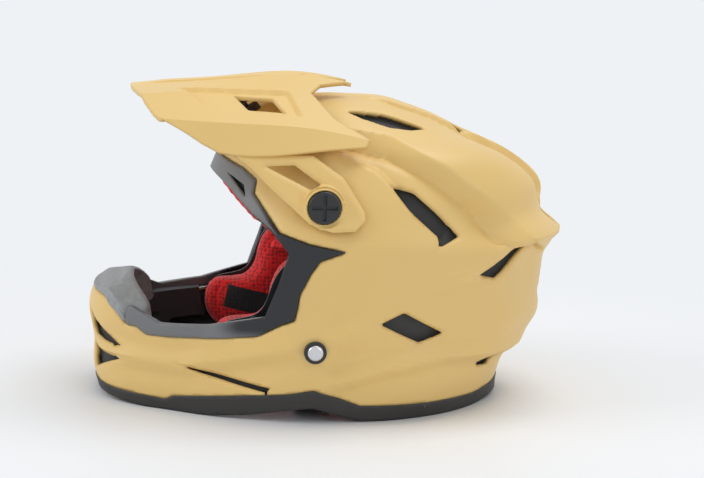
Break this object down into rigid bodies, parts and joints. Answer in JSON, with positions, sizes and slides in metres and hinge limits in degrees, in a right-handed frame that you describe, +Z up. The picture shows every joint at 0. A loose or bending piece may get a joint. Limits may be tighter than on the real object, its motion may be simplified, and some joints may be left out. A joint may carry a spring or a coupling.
{
  "type": "downhill bike full face helmet",
  "caption": "Full face downhill helmet with a chin bar, mesh vents, a tilting peak, a red lining and a double ring chin strap.",
  "frame": {"origin": "bottom centre of the helmet's bounding box, on the surface it rests on", "axes": "+Z up, the wearer looks along -Y, the wearer's left is +X"},
  "size_m": [0.2512, 0.3638, 0.2431],
  "materials": {
    "shell_paint": "matte sand paint",
    "visor_paint": "matte sand paint",
    "vent_mesh": "fine black mesh",
    "black_rubber": "dark grey rubber",
    "black_foam": "beaded black foam",
    "red_fabric": "knitted red mesh",
    "black_plastic": "moulded black plastic",
    "bright_steel": "bright steel",
    "insert_brass": "turned brass",
    "strap_webbing": "black webbing"
  },
  "bodies": {
    "helmet": {"outer_shell": "shell_paint", "arrow_vent_screens": "vent_mesh", "diamond_vent_screens": "vent_mesh", "rear_side_vent_screens": "vent_mesh", "lower_vent_screens": "vent_mesh", "chin_slit_screens": "vent_mesh", "top_vent_screens": "vent_mesh", "dorsal_vent_screens": "vent_mesh", "tail_vent_screens": "vent_mesh", "rear_vent_screen": "vent_mesh", "chin_vent_screens": "vent_mesh", "crown_foam": "black_foam", "chin_bar_foam": "black_foam", "eyeport_trim": "black_rubber", "mouth_pad": "black_rubber", "bottom_edge_trim": "black_rubber", "visor_washers": "black_rubber", "rivet_rings": "black_plastic", "cheek_pad_left": "red_fabric", "cheek_pad_right": "red_fabric", "crown_liner": "red_fabric", "brow_pad": "red_fabric", "neck_roll": "red_fabric", "cheek_pad_plates": "black_plastic", "cheek_pad_snaps": "black_plastic", "visor_screw_inserts": "insert_brass", "strap_rivets": "bright_steel", "strap_anchor_plates": "bright_steel", "chin_strap_left": "strap_webbing", "chin_strap_right": "strap_webbing", "strap_stud": "black_plastic"},
    "visor": {"visor": "visor_paint"},
    "left_screw": {"visor_screw_left": "black_plastic"},
    "right_screw": {"visor_screw_right": "black_plastic"},
    "centre_screw": {"visor_screw_centre": "black_plastic"},
    "inner_ring": {"d_ring_inner": "bright_steel"},
    "outer_ring": {"d_ring_outer": "bright_steel"}
  },
  "joints": [
    {"name": "visor_tilt", "type": "hinge", "parent": "helmet", "child": "visor", "pos_m": [0, -0.014, 0.157], "axis": [1, 0, 0], "range_deg": [-3, 10]},
    {"name": "left_screw_turn", "type": "hinge", "parent": "helmet", "child": "left_screw", "pos_m": [0, -0.014, 0.157], "axis": [1, 0, 0], "continuous": true},
    {"name": "right_screw_turn", "type": "hinge", "parent": "helmet", "child": "right_screw", "pos_m": [0, -0.014, 0.157], "axis": [-1, 0, 0], "continuous": true},
    {"name": "centre_screw_turn", "type": "hinge", "parent": "helmet", "child": "centre_screw", "pos_m": [0, -0.014, 0.157], "axis": [0, -0.6428, 0.766], "continuous": true},
    {"name": "inner_ring_swing", "type": "hinge", "parent": "helmet", "child": "inner_ring", "pos_m": [0.03, -0.018, 0.0033], "axis": [0, 1, 0], "range_deg": [0, 80]},
    {"name": "outer_ring_swing", "type": "hinge", "parent": "helmet", "child": "outer_ring", "pos_m": [0.035, -0.018, 0.0033], "axis": [0, 1, 0], "range_deg": [0, 80]}
  ]
}
